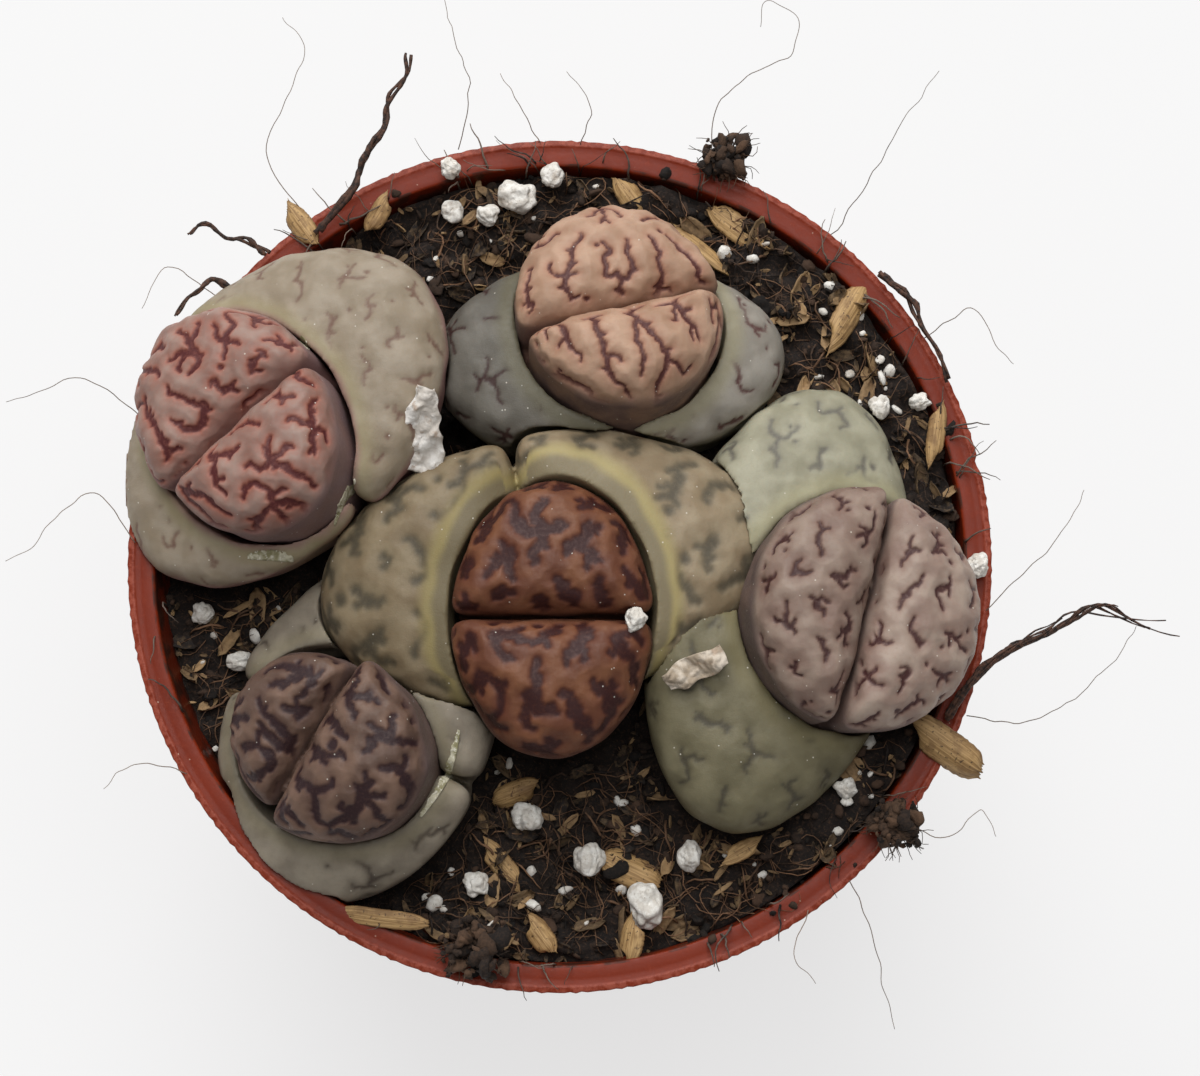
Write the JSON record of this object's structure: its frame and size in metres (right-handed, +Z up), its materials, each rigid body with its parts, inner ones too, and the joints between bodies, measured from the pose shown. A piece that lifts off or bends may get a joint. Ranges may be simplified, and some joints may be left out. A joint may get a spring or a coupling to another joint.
{
  "type": "potted lithops",
  "caption": "Cluster of living-stone succulents, each a new leaf pair rising out of an old one, in gritty compost in a small round plastic nursery pot.",
  "frame": {"origin": "centre of the pot's base, on the surface the pot stands on", "axes": "+Z up, +Y towards the back of the pot, +X to the right as the plants are seen from the front"},
  "size_m": [0.103, 0.092, 0.0804],
  "materials": {
    "terracotta_plastic": "thin moulded brick-red polypropylene, satin",
    "compost": "moist dark peat and coir fibre, matt",
    "orange_brown_leaf": "waxy matt skin with dark maroon grooves",
    "pink_leaf": "waxy matt skin with maroon grooves",
    "mauve_leaf": "waxy matt skin with short dark marks",
    "peach_leaf": "waxy matt skin with thin branching lines",
    "tan_leaf": "waxy matt skin with dark purple-brown pools",
    "khaki_leaf": "old leaf, waxy matt, blurred grey-green network",
    "cream_green_leaf": "old leaf, waxy matt, faint brown marks",
    "olive_leaf": "old leaf, waxy matt, vague darker lines",
    "grey_green_leaf": "old leaf, waxy matt, thin maroon lines",
    "grey_olive_leaf": "old leaf, waxy matt, faint lines",
    "perlite": "expanded white volcanic glass, rough",
    "husk": "dry straw-coloured rice husk",
    "dry_skin": "papery shed leaf skin",
    "root": "dark dry root fibre"
  },
  "bodies": {
    "root": {"pot": "terracotta_plastic", "compost": "compost", "centre_new_leaves": "orange_brown_leaf", "left_new_leaves": "pink_leaf", "right_new_leaves": "mauve_leaf", "back_new_leaves": "peach_leaf", "front_new_leaves": "tan_leaf", "centre_old_leaves": "khaki_leaf", "left_old_leaves": "cream_green_leaf", "right_old_leaves": "olive_leaf", "back_old_leaves": "grey_green_leaf", "front_old_leaves": "grey_olive_leaf", "perlite_grain_01": "perlite", "perlite_grain_02": "perlite", "perlite_grain_03": "perlite", "perlite_grain_04": "perlite", "perlite_grain_05": "perlite", "perlite_grain_06": "perlite", "perlite_grain_07": "perlite", "perlite_grain_08": "perlite", "perlite_grain_09": "perlite", "perlite_grain_10": "perlite", "perlite_grain_11": "perlite", "perlite_grain_12": "perlite", "perlite_grain_13": "perlite", "perlite_grain_14": "perlite", "perlite_grain_15": "perlite", "perlite_on_leaf": "perlite", "perlite_on_rim": "perlite", "husk_01": "husk", "husk_02": "husk", "husk_03": "husk", "husk_04": "husk", "husk_05": "husk", "husk_06": "husk", "husk_07": "husk", "husk_08": "husk", "husk_09": "husk", "husk_10": "husk", "husk_11": "husk", "husk_12": "husk", "husk_13": "husk", "husk_14": "husk", "husk_15": "husk", "black_twig": "root", "wiry_root_left": "root", "wiry_root_side": "root", "root_bundle": "root", "root_on_rim": "root", "dry_skin_wedge": "dry_skin", "dry_skin_right": "dry_skin", "clod_back": "compost", "clod_right": "compost", "clod_front": "compost"}
  },
  "joints": []
}
